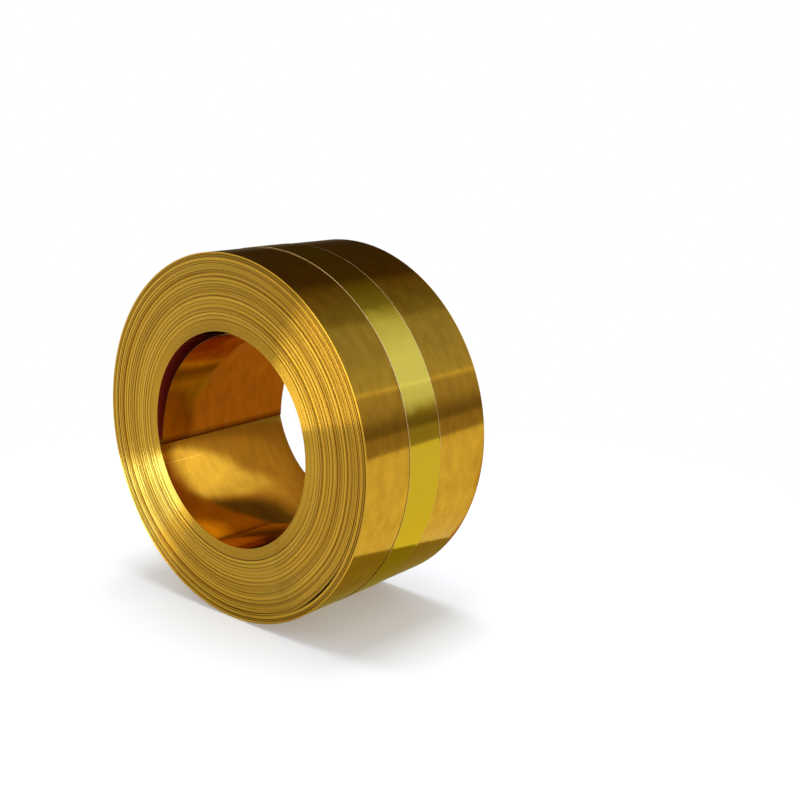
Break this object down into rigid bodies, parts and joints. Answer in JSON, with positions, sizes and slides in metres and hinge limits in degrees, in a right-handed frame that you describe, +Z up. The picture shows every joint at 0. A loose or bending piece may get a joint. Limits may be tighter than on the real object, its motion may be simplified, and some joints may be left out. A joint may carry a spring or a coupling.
{
  "type": "roll of brass strip",
  "caption": "Wound roll of thin brass strip with an open bore, lying on its curved side, with a band of tape round its middle.",
  "frame": {"origin": "on the ground under the middle of the roll", "axes": "+Z up, +Y along the bore from the end that the picture shows to the other end"},
  "size_m": [0.4296, 0.2014, 0.4296],
  "materials": {
    "rolled_brass": "bright rolled strip",
    "tape": "glossy film tape"
  },
  "bodies": {
    "root": {"brass_strip": "rolled_brass", "tape_band": "tape"}
  },
  "joints": []
}
